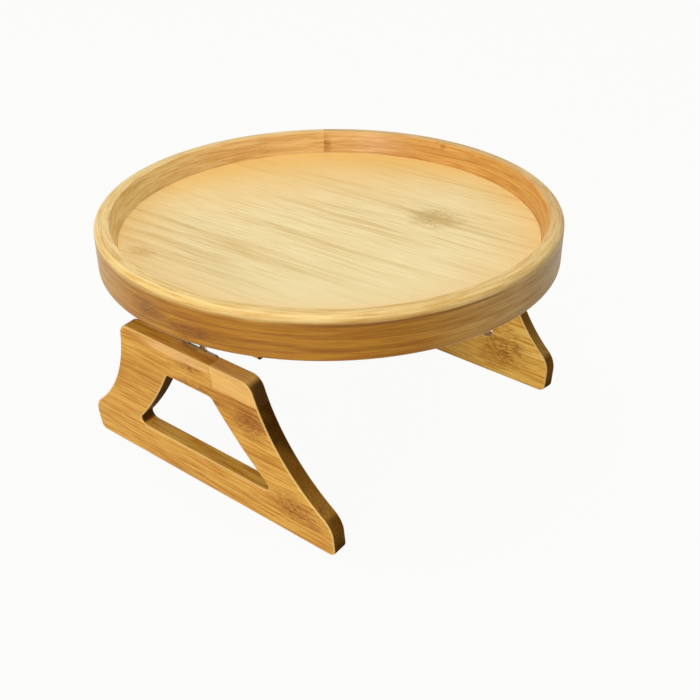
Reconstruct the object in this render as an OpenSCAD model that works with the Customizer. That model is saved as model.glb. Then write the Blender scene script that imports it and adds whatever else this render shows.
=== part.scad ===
// Round bamboo tray for a sofa arm: a shallow bent-wood tray on two sprung clip legs.
// Z = 0 is the surface the legs stand on, the tray is centred on X = Y = 0, and both
// hinge axes run along Y. The left leg is at -X and the right leg at +X.

/* [Tray] */

// outer diameter across the rim
tray_d = 250; // [200:1:320]
// height from the standing surface to the top of the rim
tray_top = 130; // [110:1:160]
// height of the bent hoop
hoop_h = 24; // [18:0.2:32]
// how far the floor lies below the top of the rim
recess_h = 12.5; // [8:0.5:20]
// width of the rim's top face
rim_w = 8.2; // [6:0.1:12]
// how much wider the hoop is at the floor than at the top
wall_flare = 3; // [0:0.5:4]
// rounding of the hoop's outer top edge
rim_round = 3.5; // [0.5:0.1:4]
// rounding of the hoop's outer lower edge
hoop_low_round = 2; // [0.5:0.1:3]
// rounding of the hoop's inner top edge
rim_inner_round = 1.2; // [0.4:0.1:2]

/* [Floor panel] */

// thickness of the glued floor panel
floor_t = 8; // [5:0.5:10]
// width of the panel's lip, which sits up against a step in the hoop
lip_w = 4.5; // [2:0.5:6]
// thickness of the panel's lip
lip_t = 4; // [3:0.5:5]
// glue gap round the panel
glue_gap = 0.1; // [0.05:0.05:0.3]

/* [Rails] */

// thickness of each rail under the floor
rail_t = 10.5; // [8:0.5:16]
// width of each rail
rail_w = 26; // [22:1:34]
// length of each rail
rail_len = 94; // [70:1:120]
// how far a rail stands out past its hinge axis
rail_past_axis = 3.8; // [3.6:0.1:8]
// chamfer along the rails' lower edges
rail_chamfer = 1; // [0.2:0.1:2]

/* [Legs] */

// distance of each hinge axis in from the edge of the tray
hinge_inset = 23.3; // [16:0.1:40]
// inward lean of the legs at rest, in degrees
lean = 7; // [0:0.5:15]
// board thickness
leg_t = 9; // [6:0.5:14]
// width of a leg across its toes
leg_toe_w = 178.5; // [120:0.5:200]
// width of a leg at its top
leg_top_w = 96; // [60:1:110]
// rounding of the toes where they turn into the hollow sides
toe_r = 13.5; // [8:0.5:18]
// height at which that rounding starts
toe_h = 12.5; // [7:0.5:16]
// rounding of the lower corners of the toes
foot_corner_r = 4; // [2.5:0.1:6]
// rounding of the top corners
leg_corner_r = 7; // [4:0.5:14]
// radius of the hollow sides
leg_side_r = 106; // [90:1:300]
// gap from the hinge axis down to the top edge of the board
leg_drop = 5.4; // [5.2:0.05:9]
// easing of the board's edges
leg_ease = 0.9; // [0.4:0.1:2]

/* [Leg window] */

// height of the window's lower edge above the foot
window_foot = 22; // [14:0.5:30]
// height of the window
window_h = 46.5; // [30:0.5:55]
// width of the window at its lower edge
window_low_w = 95.5; // [60:0.5:110]
// width of the window at its upper edge
window_top_w = 35; // [16:1:50]
// rounding of the window's lower corners
window_low_r = 3.5; // [2:0.5:8]
// rounding of the window's upper corners
window_top_r = 3; // [2:0.5:8]
// radius of the window's hollow sides
window_side_r = 230; // [120:1:400]

/* [Spring hinges] */

// sheet thickness of the hinge leaves
leaf_t = 1.2; // [0.8:0.1:2]
// depth of the moving leaf's outer face below the inner face of the leg
leaf_sunk = 0.1; // [0:0.05:0.5]
// width of the leaves past the knuckles
leaf_w = 38; // [32:1:50]
// length of a leaf measured from the hinge axis
leaf_len = 20; // [17:0.5:22]
// outer radius of the knuckles
knuckle_r = 3.4; // [2.8:0.1:4.5]
// length of each knuckle
knuckle_len = 3.8; // [3:0.1:6]
// gap between neighbouring knuckles
knuckle_gap = 0.2; // [0.1:0.05:0.5]
// radius of the hinge pin
pin_r = 1.5; // [1:0.1:2]
// running clearance round the pin
pin_clear = 0.06; // [0.02:0.01:0.1]
// length of the spring between the middle knuckles
spring_len = 12; // [9:0.5:20]

/* [Springs] */

// radius of the spring wire
wire_r = 0.5; // [0.3:0.05:0.7]
// radius of the coil at the middle of its wire
coil_r = 2.45; // [2.2:0.05:3]
// whole curls of each coil
coil_curls = 6; // [4:1:8]
// length of the wire's straight end along the rail
fixed_tail = 9; // [7:0.5:12]

/* [Screws] */

// shank radius of the hinge screws
screw_r = 1.3; // [1:0.1:1.8]
// head radius of the hinge screws
screw_head_r = 2.5; // [2:0.1:3.5]
// wood left between the tips of the hinge screws and the far face
screw_cover = 1.9; // [1:0.1:3]
// distance of the upper hinge screws in from the leaf's hinge edge
upper_screw_in = 3.75; // [3:0.25:6]
// distance of the upper hinge screws in from the leaf's sides
upper_screw_side = 5; // [3.5:0.5:7]
// distance of the lower hinge screws in from the leaf's free edge
lower_screw_in = 4.5; // [3:0.25:6]
// distance between the two lower hinge screws
lower_screw_span = 15; // [8:1:24]
// shank radius of the rail screws
rail_screw_r = 1.6; // [1.2:0.1:2.2]
// head radius of the rail screws
rail_screw_head_r = 3.2; // [2.5:0.1:4]
// wood left between the tips of the rail screws and the tray's floor
rail_screw_cover = 2.5; // [1.5:0.1:4]
// distance between a rail's two screws
rail_screw_span = 72; // [50:1:84]

/* [Hidden] */

$fn = 96;

bamboo_floor = [0.95, 0.82, 0.58];
bamboo_rim = [0.90, 0.70, 0.42];
bamboo_leg = [0.80, 0.58, 0.30];
bamboo_rail = [0.78, 0.56, 0.29];
steel = [0.72, 0.72, 0.70];
spring_steel = [0.55, 0.55, 0.56];

// heights, from the rim down to the hinge axes
hoop_low = tray_top - hoop_h;
floor_top = tray_top - recess_h;
floor_low = floor_top - floor_t;
lip_top = floor_low + lip_t;
rail_low = floor_low - rail_t;
knuckle_clear = 0.3;
leaf_seat = knuckle_r + knuckle_clear;
axis_z = rail_low - leaf_seat;

// radii of the hoop and the panel
hoop_r = tray_d / 2;
hoop_draft = 0.2;
hoop_low_chamfer = 0.6;
wall_top_r = hoop_r - rim_w;
wall_low_r = wall_top_r - wall_flare;
panel_r = wall_low_r + lip_w;

// rails, in the hinge frame, where +X points away from the middle of the tray
hinge_reach = hoop_r - hinge_inset;
rail_mid = rail_past_axis - rail_w / 2;

// legs, measured from the hinge axis along and across the leaning board
leg_inner = leaf_seat - leaf_t - leaf_sunk;
leg_outer = leg_inner + leg_t;
ease_share = 0.3;
leg_foot = (axis_z - (leg_outer - leg_ease) * sin(lean)) / cos(lean);
leg_h = leg_foot - leg_drop;

// hinge: middle knuckles move with the leg, end knuckles stay with the rail
knuckle_near = spring_len / 2;
knuckle_far = knuckle_near + knuckle_len + knuckle_gap;
hinge_half = knuckle_far + knuckle_len;
pin_head_r = 2.3;
pin_head_t = 1;
pin_head_gap = 0.1;
leaf_proud = 0.15;
neck_len = leg_drop - leaf_proud;
leaf_corner_r = 3;
pocket_clear = 0.15;

// spring: its coil between the middle knuckles and the slot for its straight end
coil_side_gap = 0.6;
slot_side_gap = 0.3;
slot_end_gap = 0.4;
tail_short = 0.6;
tail_slot = 2 * (wire_r + slot_side_gap);
coil_half = spring_len / 2 - wire_r - coil_side_gap;
moving_tail = neck_len - tail_short;

// screws: heads, lengths, and places on a leaf in an upper and a lower row
hole_clear = 0.08;
head_h = 1.3;
rail_head_h = 1.8;
rail_leaf_screw_len = leaf_t + rail_t - screw_cover;
leg_leaf_screw_len = leg_t - leaf_sunk - screw_cover;
rail_screw_len = rail_t + floor_t - rail_screw_cover;
upper_screw = [neck_len + upper_screw_in, leaf_w / 2 - upper_screw_side];
lower_screw = [leaf_len - lower_screw_in, lower_screw_span / 2];
leaf_screw_places = [for (y = [-1, 1]) for (at = [upper_screw, lower_screw]) [-at[0], y * at[1]]];

// a screw's cross recess and point, as shares of its head and shank
cross_w_share = 0.35;
cross_l_share = 1.15;
tip_len_share = 1.6;
tip_r_share = 0.25;

// how far a cut runs on past the face it opens
cut_past = 1;

// straight steps in the curves of the boards and the hoop
toe_steps = 8;
side_steps = 14;
foot_steps = 5;
rim_steps = 8;
small_steps = 4;

// points on an arc, from one angle to another
function arc(centre, r, from, to, steps) =
    [for (i = [0 : steps]) centre + r * [cos(from + (to - from) * i / steps),
                                         sin(from + (to - from) * i / steps)]];

// point at distance r1 from p1 and r2 from p2, on the right of the line from p1 to p2
function meet(p1, r1, p2, r2) =
    let (d = norm(p2 - p1),
         u = (p2 - p1) / d,
         along = (r1 * r1 - r2 * r2 + d * d) / (2 * d),
         aside = sqrt(r1 * r1 - along * along))
    p1 + along * u + aside * [u[1], -u[0]];

// right half of a waisted outline, bottom to top: rounded toe, hollow side, rounded corner
function waisted_half(low_w, low_r, low_h, low_from, top_w, top_r, h, side_r, inset) =
    let (toe = [low_w / 2 - low_r, low_h],
         corner = [top_w / 2 - top_r, h - top_r],
         side = meet(toe, side_r + low_r, corner, side_r + top_r),
         toe_a = atan2(side[1] - toe[1], side[0] - toe[0]),
         corner_a = atan2(side[1] - corner[1], side[0] - corner[0]))
    concat(arc(toe, low_r - inset, low_from, toe_a, toe_steps),
           arc(side, side_r + inset, 180 + toe_a, 180 + corner_a, side_steps),
           arc(corner, top_r - inset, corner_a, 90, toe_steps));

function mirrored(half) =
    concat(half, [for (i = [len(half) - 1 : -1 : 0]) [-half[i][0], half[i][1]]]);

function outline(inset) =
    mirrored(concat(
        arc([leg_toe_w / 2 - foot_corner_r, foot_corner_r], foot_corner_r - inset, -90, 0, foot_steps),
        waisted_half(leg_toe_w, toe_r, toe_h, 0, leg_top_w, leg_corner_r, leg_h, leg_side_r, inset)));

function window(inset) =
    mirrored(waisted_half(window_low_w, window_low_r, window_low_r, -90, window_top_w, window_top_r,
                          window_h, window_side_r, inset));

// solid through a stack of outlines, each at its own height
module stack(outlines, heights) {
    n = len(outlines[0]);
    k = len(outlines);
    points = [for (j = [0 : k - 1]) for (p = outlines[j]) [p[0], p[1], heights[j]]];
    low = [[for (i = [n - 1 : -1 : 0]) i]];
    high = [[for (i = [0 : n - 1]) (k - 1) * n + i]];
    sides = [for (j = [0 : k - 2]) for (i = [0 : n - 1]) for (half = [0, 1])
        let (a = j * n + i, b = j * n + (i + 1) % n)
        half == 0 ? [a, b, b + n] : [a, b + n, a + n]];
    faces = concat(low, high, sides);
    polyhedron(points = points, faces = [for (f = faces) [for (i = [len(f) - 1 : -1 : 0]) f[i]]]);
}

// side is -1 for the left and 1 for the right; in this frame +X points outwards
module at_hinge(side) {
    translate([side * hinge_reach, 0, axis_z])
        rotate([0, 0, side > 0 ? 0 : 180])
            children();
}

module at_leg(side) {
    at_hinge(side)
        rotate([0, lean, 0])
            children();
}

// countersunk screw pointing up, its head flush with Z = 0
module screw(r, head_r, head_h, length) {
    cross_w = r * cross_w_share;
    cross_l = head_r * cross_l_share;
    tip = r * tip_len_share;
    difference() {
        union() {
            cylinder(r1 = head_r, r2 = r, h = head_h);
            cylinder(r = r, h = length - tip);
            translate([0, 0, length - tip])
                cylinder(r1 = r, r2 = r * tip_r_share, h = tip);
        }
        for (turn = [0, 90])
            rotate([0, 0, turn])
                cube([cross_l, cross_w, head_h], center = true);
    }
}

module screw_hole(r, head_r, head_h, length) {
    cylinder(r1 = head_r + hole_clear, r2 = r + hole_clear, h = head_h);
    cylinder(r = r + hole_clear, h = length + hole_clear);
    translate([0, 0, -cut_past])
        cylinder(r = head_r + hole_clear, h = cut_past);
}

module leaf_screws(length, hole = false) {
    for (at = leaf_screw_places)
        translate([at[0], at[1], leaf_seat - leaf_t])
            if (hole)
                screw_hole(screw_r, screw_head_r, head_h, length);
            else
                screw(screw_r, screw_head_r, head_h, length);
}

module rail_screw_places() {
    for (y = [-1, 1])
        translate([rail_mid, y * rail_screw_span / 2, leaf_seat])
            children();
}

// turns a leaf that lies under the rail into one that hangs down the board
module hanging() {
    mirror([0, 0, 1])
        rotate([0, 90, 0])
            children();
}

module rounded_plate(x1, x2, w, r, t) {
    linear_extrude(t)
        union() {
            translate([x1, -w / 2 + r])
                square([x2 - x1, w - 2 * r]);
            translate([x1 + r, -w / 2])
                square([x2 - x1 - 2 * r, w]);
            for (x = [x1 + r, x2 - r])
                for (y = [-w / 2 + r, w / 2 - r])
                    translate([x, y])
                        circle(r);
        }
}

module knuckle(y) {
    translate([0, y, 0])
        rotate([-90, 0, 0])
            cylinder(r = knuckle_r, h = knuckle_len);
}

module pin_bore() {
    rotate([90, 0, 0])
        cylinder(r = pin_r + pin_clear, h = 2 * (hinge_half + cut_past), center = true);
}

// one leaf lying flat, knuckles at the given distance from the middle
module leaf(near, screw_len) {
    strap_lap = 1;
    difference() {
        union() {
            translate([0, 0, leaf_seat - leaf_t])
                rounded_plate(-leaf_len, -neck_len, leaf_w, leaf_corner_r, leaf_t);
            for (y = [near, -near - knuckle_len]) {
                knuckle(y);
                translate([-neck_len - strap_lap, y, leaf_seat - leaf_t])
                    cube([neck_len + strap_lap, knuckle_len, leaf_t]);
            }
        }
        pin_bore();
        leaf_screws(screw_len, hole = true);
    }
}

module rim_hoop() {
    r1 = rim_round;
    r2 = rim_inner_round;
    r3 = hoop_low_round;
    c = hoop_low_chamfer;
    low_r = hoop_r - hoop_draft;
    color(bamboo_rim)
        rotate_extrude()
            polygon(concat(
                [[panel_r, lip_top], [panel_r, hoop_low + c], [panel_r + c, hoop_low]],
                arc([low_r - r3, hoop_low + r3], r3, -90, 0, foot_steps),
                arc([hoop_r - r1, tray_top - r1], r1, 0, 90, rim_steps),
                arc([wall_top_r + r2, tray_top - r2], r2, 90, 180, small_steps),
                [[wall_low_r, floor_top], [wall_low_r, lip_top]]));
}

module floor_panel() {
    color(bamboo_floor)
        difference() {
            translate([0, 0, floor_low])
                union() {
                    cylinder(r = panel_r - glue_gap, h = lip_t);
                    cylinder(r = wall_low_r - glue_gap, h = floor_t);
                }
            for (side = [-1, 1])
                at_hinge(side)
                    rail_screw_places()
                        screw_hole(rail_screw_r, rail_screw_head_r, rail_head_h, rail_screw_len);
        }
}

module rail(side) {
    c = rail_chamfer;
    color(bamboo_rail)
        at_hinge(side)
            difference() {
                translate([rail_past_axis - rail_w, rail_len / 2, leaf_seat])
                    rotate([90, 0, 0])
                        linear_extrude(rail_len)
                            polygon([[c, 0], [rail_w - c, 0], [rail_w, c], [rail_w, rail_t],
                                     [0, rail_t], [0, c]]);
                leaf_screws(rail_leaf_screw_len, hole = true);
                rail_screw_places()
                    screw_hole(rail_screw_r, rail_screw_head_r, rail_head_h, rail_screw_len);
            }
}

module leg(side) {
    e = leg_ease;
    e2 = e * ease_share;
    past = cut_past;
    insets = [e, e2, 0, 0, e2, e];
    heights = [0, e2, e, leg_t - e, leg_t - e2, leg_t];
    color(bamboo_leg)
        at_leg(side)
            difference() {
                translate([leg_inner, 0, -leg_foot])
                    rotate([90, 0, 90])
                        difference() {
                            stack([for (i = insets) outline(i)], heights);
                            translate([0, window_foot, 0])
                                stack([for (i = concat(e + past, insets, e + past)) window(-i)],
                                      concat(-past, heights, leg_t + past));
                        }
                hanging() {
                    translate([0, 0, leg_inner - past])
                        rounded_plate(-leaf_len - pocket_clear, 0, leaf_w + 2 * pocket_clear,
                                      leaf_corner_r + pocket_clear, leaf_seat - leg_inner + past);
                    leaf_screws(leg_leaf_screw_len, hole = true);
                }
            }
}

module hinge_fixed_leaf(side) {
    color(steel)
        at_hinge(side)
            difference() {
                leaf(knuckle_far, rail_leaf_screw_len);
                translate([-fixed_tail - slot_end_gap, coil_half - tail_slot / 2, 0])
                    cube([fixed_tail + slot_end_gap, tail_slot, 2 * leaf_seat]);
            }
}

module hinge_moving_leaf(side) {
    color(steel)
        at_leg(side)
            hanging()
                leaf(knuckle_near, leg_leaf_screw_len);
}

module hinge_pin(side) {
    head_at = hinge_half + pin_head_gap;
    color(steel)
        at_hinge(side)
            rotate([90, 0, 0]) {
                cylinder(r = pin_r, h = 2 * head_at + pin_head_t, center = true);
                for (end = [-1, 1])
                    translate([0, 0, end * (head_at + pin_head_t / 2)])
                        cylinder(r = pin_head_r, h = pin_head_t, center = true);
            }
}

module fixed_leaf_screws(side) {
    color(steel)
        at_hinge(side)
            leaf_screws(rail_leaf_screw_len);
}

module moving_leaf_screws(side) {
    color(steel)
        at_leg(side)
            hanging()
                leaf_screws(leg_leaf_screw_len);
}

module rail_screws(side) {
    color(steel)
        at_hinge(side)
            rail_screw_places()
                screw(rail_screw_r, rail_screw_head_r, rail_head_h, rail_screw_len);
}

// the wire runs in along the fixed leaf, round the pin and a little way down
coil_turns = coil_curls + 0.25;
coil_pitch = 2 * coil_half / coil_turns;
rings_a_curl = 8;
wire_sides = 6;
coil_rings = coil_turns * rings_a_curl;
function coil_point(i) =
    let (a = 90 - 360 * i / rings_a_curl)
    [coil_r * cos(a), coil_half - coil_pitch * i / rings_a_curl, coil_r * sin(a)];
spring_path = concat(
    [[-fixed_tail, coil_half, coil_r], [-fixed_tail / 2, coil_half, coil_r]],
    [for (i = [0 : coil_rings]) coil_point(i)],
    [[coil_r, -coil_half, -moving_tail / 2], [coil_r, -coil_half, -moving_tail]]);
coil_gap = min([for (i = [0 : coil_rings - rings_a_curl])
    norm(coil_point(i + rings_a_curl) - coil_point(i))]) - 2 * wire_r;
echo(spring_gap_to_itself_mm = coil_gap);

// round tube along a path that turns about the Y axis
module tube(path, r, sides) {
    n = len(path);
    function along(i) =
        let (d = path[min(i + 1, n - 1)] - path[max(i - 1, 0)])
        d / norm(d);
    points = [for (i = [0 : n - 1])
        let (u = along(i), v = cross(u, [0, 1, 0]) / norm(cross(u, [0, 1, 0])), w = cross(v, u))
        for (s = [0 : sides - 1]) path[i] + r * (cos(360 * s / sides) * v + sin(360 * s / sides) * w)];
    caps = [[for (s = [0 : sides - 1]) s], [for (s = [sides - 1 : -1 : 0]) (n - 1) * sides + s]];
    walls = [for (i = [0 : n - 2]) for (s = [0 : sides - 1]) for (half = [0, 1])
        let (a = i * sides + s, b = i * sides + (s + 1) % sides)
        half == 0 ? [a, a + sides, b + sides] : [a, b + sides, b]];
    polyhedron(points = points, faces = concat(caps, walls));
}

module hinge_spring(side) {
    color(spring_steel)
        at_hinge(side)
            tube(spring_path, wire_r, wire_sides);
}

rim_hoop();
floor_panel();
rail(-1);  // rail_left
rail(1);  // rail_right
rail_screws(-1);  // rail_screws_left
rail_screws(1);  // rail_screws_right
leg(-1);  // leg_left
leg(1);  // leg_right
hinge_fixed_leaf(-1);  // hinge_fixed_leaf_left
hinge_fixed_leaf(1);  // hinge_fixed_leaf_right
hinge_moving_leaf(-1);  // hinge_moving_leaf_left
hinge_moving_leaf(1);  // hinge_moving_leaf_right
hinge_pin(-1);  // hinge_pin_left
hinge_pin(1);  // hinge_pin_right
hinge_spring(-1);  // hinge_spring_left
hinge_spring(1);  // hinge_spring_right
fixed_leaf_screws(-1);  // fixed_leaf_screws_left
fixed_leaf_screws(1);  // fixed_leaf_screws_right
moving_leaf_screws(-1);  // moving_leaf_screws_left
moving_leaf_screws(1);  // moving_leaf_screws_right
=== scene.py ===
# %% [markdown]
# A round bamboo tray that clips over the arm of a sofa. The measured model comes first, as a
# fixed frame: every piece that moves, fastens or carries load is already in its real place.
# This lesson dresses it, so it works in the same metres and never moves a measured piece.

# %% Load the frame
import bmesh
import bpy
import math
from mathutils import Matrix, Vector


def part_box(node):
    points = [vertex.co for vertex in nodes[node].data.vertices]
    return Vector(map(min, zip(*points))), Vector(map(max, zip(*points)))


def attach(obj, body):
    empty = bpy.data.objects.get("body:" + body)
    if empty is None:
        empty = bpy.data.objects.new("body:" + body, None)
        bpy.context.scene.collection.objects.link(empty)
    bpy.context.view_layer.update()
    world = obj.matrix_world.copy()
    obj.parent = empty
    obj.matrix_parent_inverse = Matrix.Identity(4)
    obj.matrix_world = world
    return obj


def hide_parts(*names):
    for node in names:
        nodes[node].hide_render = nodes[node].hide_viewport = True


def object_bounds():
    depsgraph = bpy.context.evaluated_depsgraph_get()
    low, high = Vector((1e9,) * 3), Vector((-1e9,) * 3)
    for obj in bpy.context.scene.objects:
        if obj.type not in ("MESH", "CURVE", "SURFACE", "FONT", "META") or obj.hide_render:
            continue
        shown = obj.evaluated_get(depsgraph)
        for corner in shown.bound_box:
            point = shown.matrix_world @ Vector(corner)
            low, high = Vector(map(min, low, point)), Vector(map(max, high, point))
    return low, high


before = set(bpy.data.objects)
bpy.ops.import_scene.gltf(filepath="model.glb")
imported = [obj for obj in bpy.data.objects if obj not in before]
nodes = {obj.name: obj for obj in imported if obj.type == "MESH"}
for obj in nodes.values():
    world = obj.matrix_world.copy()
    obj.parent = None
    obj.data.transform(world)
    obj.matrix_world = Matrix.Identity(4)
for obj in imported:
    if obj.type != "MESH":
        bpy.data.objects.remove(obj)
cad_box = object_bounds()
SIDES = ("left", "right")
MM = 0.001
print("measured pieces:", len(nodes))

# %% [markdown]
# The photograph was taken from the left leg's side, about 0.6 m from the tray and looking down. A
# camera can be set by eye, by angles or by two points. Two points are used here, where it is and
# what it looks at, because both could be fitted to the rim's outline. The distance sets how much
# smaller the far side of the rim looks than the near side, and the lens only how large the tray is.

# %% Camera
CAMERA_PLACE = Vector((-0.41172, -0.36210, 0.36194))
CAMERA_AIM = Vector((0.00574, -0.00892, 0.04000))
CAMERA_ROLL = math.radians(-0.379)
LENS_MM = 56.388
SENSOR_MM = 36.0

camera_data = bpy.data.cameras.new("photo_camera")
camera_data.lens = LENS_MM
camera_data.sensor_width = SENSOR_MM
camera = bpy.data.objects.new("photo_camera", camera_data)
look = (CAMERA_AIM - CAMERA_PLACE).to_track_quat("-Z", "Y").to_matrix().to_4x4()
roll = Matrix.Rotation(CAMERA_ROLL, 4, "Z")
camera.matrix_world = Matrix.Translation(CAMERA_PLACE) @ look @ roll
bpy.context.scene.collection.objects.link(camera)
bpy.context.scene.camera = camera
bpy.context.scene.view_settings.view_transform = "Standard"
rim_middle = Vector((0, 0, cad_box[1][2]))
print("camera to rim:", round((CAMERA_PLACE - rim_middle).length, 3), "m")

# %% [markdown]
# A material is a network of small steps. They could be written out one by one, but each of these
# helpers adds one step and joins it up, so that the recipes further down read like a list. Most
# inputs take a number or another step. These first ones work with numbers and places.

# %% Node helpers
def put(tree, socket, value):
    if isinstance(value, bpy.types.NodeSocket):
        tree.links.new(value, socket)
    else:
        socket.default_value = value


def calc(tree, operation, a, b=0.0, clamp=False):
    node = tree.nodes.new("ShaderNodeMath")
    node.operation = operation
    node.use_clamp = clamp
    put(tree, node.inputs[0], a)
    put(tree, node.inputs[1], b)
    return node.outputs[0]


def vector_calc(tree, operation, a, b=(0.0, 0.0, 0.0)):
    node = tree.nodes.new("ShaderNodeVectorMath")
    node.operation = operation
    put(tree, node.inputs[0], a)
    put(tree, node.inputs[1], b)
    return node.outputs["Value"] if operation in ("LENGTH", "DOT_PRODUCT") else node.outputs[0]


def split(tree, vector):
    node = tree.nodes.new("ShaderNodeSeparateXYZ")
    put(tree, node.inputs[0], vector)
    return node.outputs


def join(tree, x, y, z):
    node = tree.nodes.new("ShaderNodeCombineXYZ")
    for socket, value in zip(node.inputs, (x, y, z)):
        put(tree, socket, value)
    return node.outputs[0]


print("number helpers:", ", ".join(helper.__name__ for helper in (put, calc, vector_calc, split, join)))

# %% [markdown]
# Wood and metal need patterns, and patterns need colours. These helpers add a pattern, turn a value
# into a soft edge, or mix two colours. A hard step would show as a cut line, so every edge is eased
# at both ends.

# %% Pattern helpers
def noise(tree, vector, stretch, detail=2.0, roughness=0.5):
    node = tree.nodes.new("ShaderNodeTexNoise")
    put(tree, node.inputs["Vector"], vector_calc(tree, "MULTIPLY", vector, stretch))
    node.inputs["Scale"].default_value = 1.0
    node.inputs["Detail"].default_value = detail
    node.inputs["Roughness"].default_value = roughness
    return node.outputs["Fac"]


def chance(tree, x, y, z=0.0):
    node = tree.nodes.new("ShaderNodeTexWhiteNoise")
    put(tree, node.inputs["Vector"], join(tree, x, y, z))
    return node.outputs["Value"]


def ramp(tree, value, low, high, to_low=0.0, to_high=1.0):
    node = tree.nodes.new("ShaderNodeMapRange")
    node.interpolation_type = "SMOOTHSTEP"
    for socket, given in zip(node.inputs, (value, low, high, to_low, to_high)):
        put(tree, socket, given)
    return node.outputs[0]


def fade(tree, value, low, high, full=1.0, least=0.0):
    return ramp(tree, value, low, high, full, least)


# The mixer has sockets for other kinds of data as well, so its colour sockets go by number.
MIX_FACTOR, MIX_A, MIX_B, MIX_RESULT = 0, 6, 7, 2


def blend(tree, factor, a, b, mode="MIX"):
    node = tree.nodes.new("ShaderNodeMix")
    node.data_type = "RGBA"
    node.blend_type = mode
    for number, value in ((MIX_FACTOR, factor), (MIX_A, a), (MIX_B, b)):
        put(tree, node.inputs[number], value)
    return node.outputs[MIX_RESULT]


def srgb(red, green, blue):
    # A screen value from 0 to 255 follows the sRGB curve, and Blender works in linear light.
    def linear(v):
        v = v / 255
        return v / 12.92 if v <= 0.04045 else ((v + 0.055) / 1.055) ** 2.4
    return (linear(red), linear(green), linear(blue), 1.0)


STRAW = srgb(243, 218, 161)
print("straw colour in linear light:", [round(v, 3) for v in STRAW[:3]])

# %% [markdown]
# A shader node group is one effect with named sockets, built once and used by many materials.
# This maker adds the sockets and hands back the inside ends.

# %% Group maker
KINDS = {"value": "NodeSocketFloat", "vector": "NodeSocketVector", "colour": "NodeSocketColor"}


def new_group(name, inputs, outputs):
    tree = bpy.data.node_groups.new(name, "ShaderNodeTree")
    for label, kind, default in inputs:
        socket = tree.interface.new_socket(label, in_out="INPUT", socket_type=KINDS[kind])
        if default is not None:
            socket.default_value = default
    for label, kind in outputs:
        tree.interface.new_socket(label, in_out="OUTPUT", socket_type=KINDS[kind])
    start = tree.nodes.new("NodeGroupInput")
    end = tree.nodes.new("NodeGroupOutput")
    return tree, start.outputs, end.inputs


def use_group(tree, group, values):
    node = tree.nodes.new("ShaderNodeGroup")
    node.node_tree = group
    for label, value in values.items():
        put(tree, node.inputs[label], value)
    return node.outputs


print("group sockets can be:", sorted(KINDS))

# %% [markdown]
# Bamboo boards are glued from strips about 19 mm wide. Every strip has its own shade of straw,
# fine fibres along its whole length and soft darker streaks where the cane was nearer its skin.
# A photograph of bamboo could be laid on, but it would stretch on a bent hoop and end at a sawn
# edge. Noise in three dimensions runs through the wood as real grain does, so it is used here.
# The group takes a place whose X runs along the fibres, Y across the strips and Z through the
# board. It gives a mask for the shade, the fibres, the streaks and the glue line between two
# strips, and the height of the surface.

# %% Bamboo grain group
STRIP_WIDTH = 19 * MM
# Spots of noise in a metre: along the strip, across it and through the board.
FINE_FIBRES = (70.0, 2200.0, 2200.0)
COARSE_FIBRES = (40.0, 800.0, 800.0)
STREAKS = (9.0, 170.0, 170.0)
# Each strip slides by up to this many metres, so that its pattern isn't its neighbour's.
MOST_SLIDE = 3.0
# A third number gives the same strip a second chance value of its own.
SLIDE_DRAW = 7.0
GLUE_LINE = (0.05 * MM, 0.4 * MM)


def build_grain():
    tree, given, out = new_group(
        "bamboo_grain",
        [("Place", "vector", None), ("Strip Width", "value", STRIP_WIDTH),
         ("Streak Shape", "vector", STREAKS), ("Seed", "value", 0.0)],
        [("Tone", "value"), ("Fibre", "value"), ("Streak", "value"), ("Glue Line", "value"),
         ("Height", "value")])
    width, seed = given["Strip Width"], given["Seed"]
    x, y, z = split(tree, given["Place"])
    strips = calc(tree, "DIVIDE", y, width)
    index = calc(tree, "FLOOR", strips)
    tone = chance(tree, index, seed)
    slide = calc(tree, "MULTIPLY", chance(tree, index, seed, SLIDE_DRAW), MOST_SLIDE)
    own = join(tree, calc(tree, "ADD", x, slide), y, z)
    fine = noise(tree, own, FINE_FIBRES, detail=3.0, roughness=0.6)
    coarse = noise(tree, own, COARSE_FIBRES)
    streak = noise(tree, own, given["Streak Shape"], detail=3.0, roughness=0.55)
    fibre = calc(tree, "MULTIPLY", calc(tree, "ADD", fine, coarse), 0.5)
    within = calc(tree, "ABSOLUTE", calc(tree, "SUBTRACT", calc(tree, "FRACT", strips), 0.5))
    edge = calc(tree, "MULTIPLY", calc(tree, "SUBTRACT", 0.5, within), width)
    line = fade(tree, edge, *GLUE_LINE)
    height = calc(tree, "SUBTRACT", fibre, line)
    for label, value in (("Tone", tone), ("Fibre", fibre), ("Streak", streak),
                         ("Glue Line", line), ("Height", height)):
        put(tree, out[label], value)
    return tree


bamboo_grain = build_grain()
print("grain group steps:", len(bamboo_grain.nodes))

# %% [markdown]
# Where the cane had a joint, the fibres part and knit again, and the sawn strip shows a patch of
# short dark dashes. It could be painted or scattered at random. A group that places one such
# patch is used here, because the photograph shows where they are: an oval round a centre, filled
# with dashes that are stretched along the grain. A recipe calls it once for each patch.

# %% Cane joint group
RAGGED_EDGE = (130.0, 520.0, 520.0)
RAGGED_SHARE = 1.1
PATCH_EDGE = (0.8, 1.7)
DASHES = (330.0, 1500.0, 1500.0)
DASH_EDGE = (0.49, 0.58)


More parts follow.
